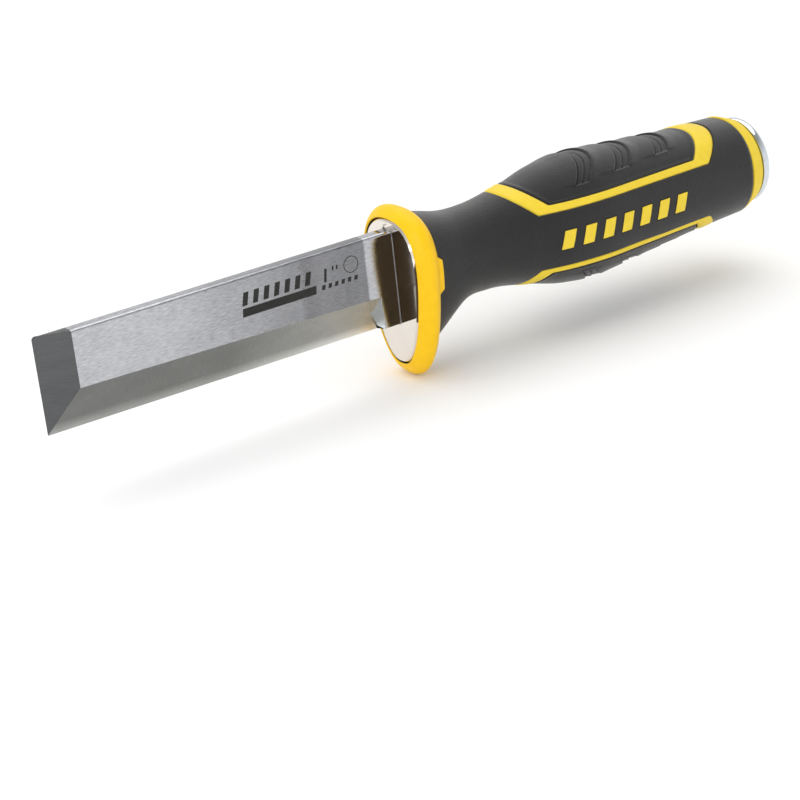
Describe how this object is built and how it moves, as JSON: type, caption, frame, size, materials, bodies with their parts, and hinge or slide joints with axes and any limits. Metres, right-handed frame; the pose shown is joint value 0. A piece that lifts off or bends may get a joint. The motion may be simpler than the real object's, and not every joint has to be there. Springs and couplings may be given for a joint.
{
  "type": "demolition chisel",
  "caption": "Broad flat steel chisel with a chisel end, one long bevelled edge, an oval hand guard, a two-colour moulded grip and a steel strike cap.",
  "frame": {"origin": "front face of the guard plate, on the blade's middle line", "axes": "+X along the tool towards the strike cap; +Z towards the spine, the long sharpened edge is at -Z; -Y is the face that carries both bevels"},
  "size_m": [0.2204, 0.0308, 0.0459],
  "materials": {
    "blade_steel": "brushed lengthwise on the flats, cross ground on the long bevel",
    "polished_steel": "mirror polished",
    "yellow_plastic": "satin moulded",
    "black_rubber": "matte, fine grain",
    "cap_steel": "bright zinc plated"
  },
  "bodies": {
    "root": {"blade": "blade_steel", "guard_plate": "polished_steel", "handle_core": "yellow_plastic", "grip_sleeve": "black_rubber", "spine_finger_pad": "black_rubber", "edge_finger_pad": "black_rubber", "strike_cap": "cap_steel"}
  },
  "joints": []
}
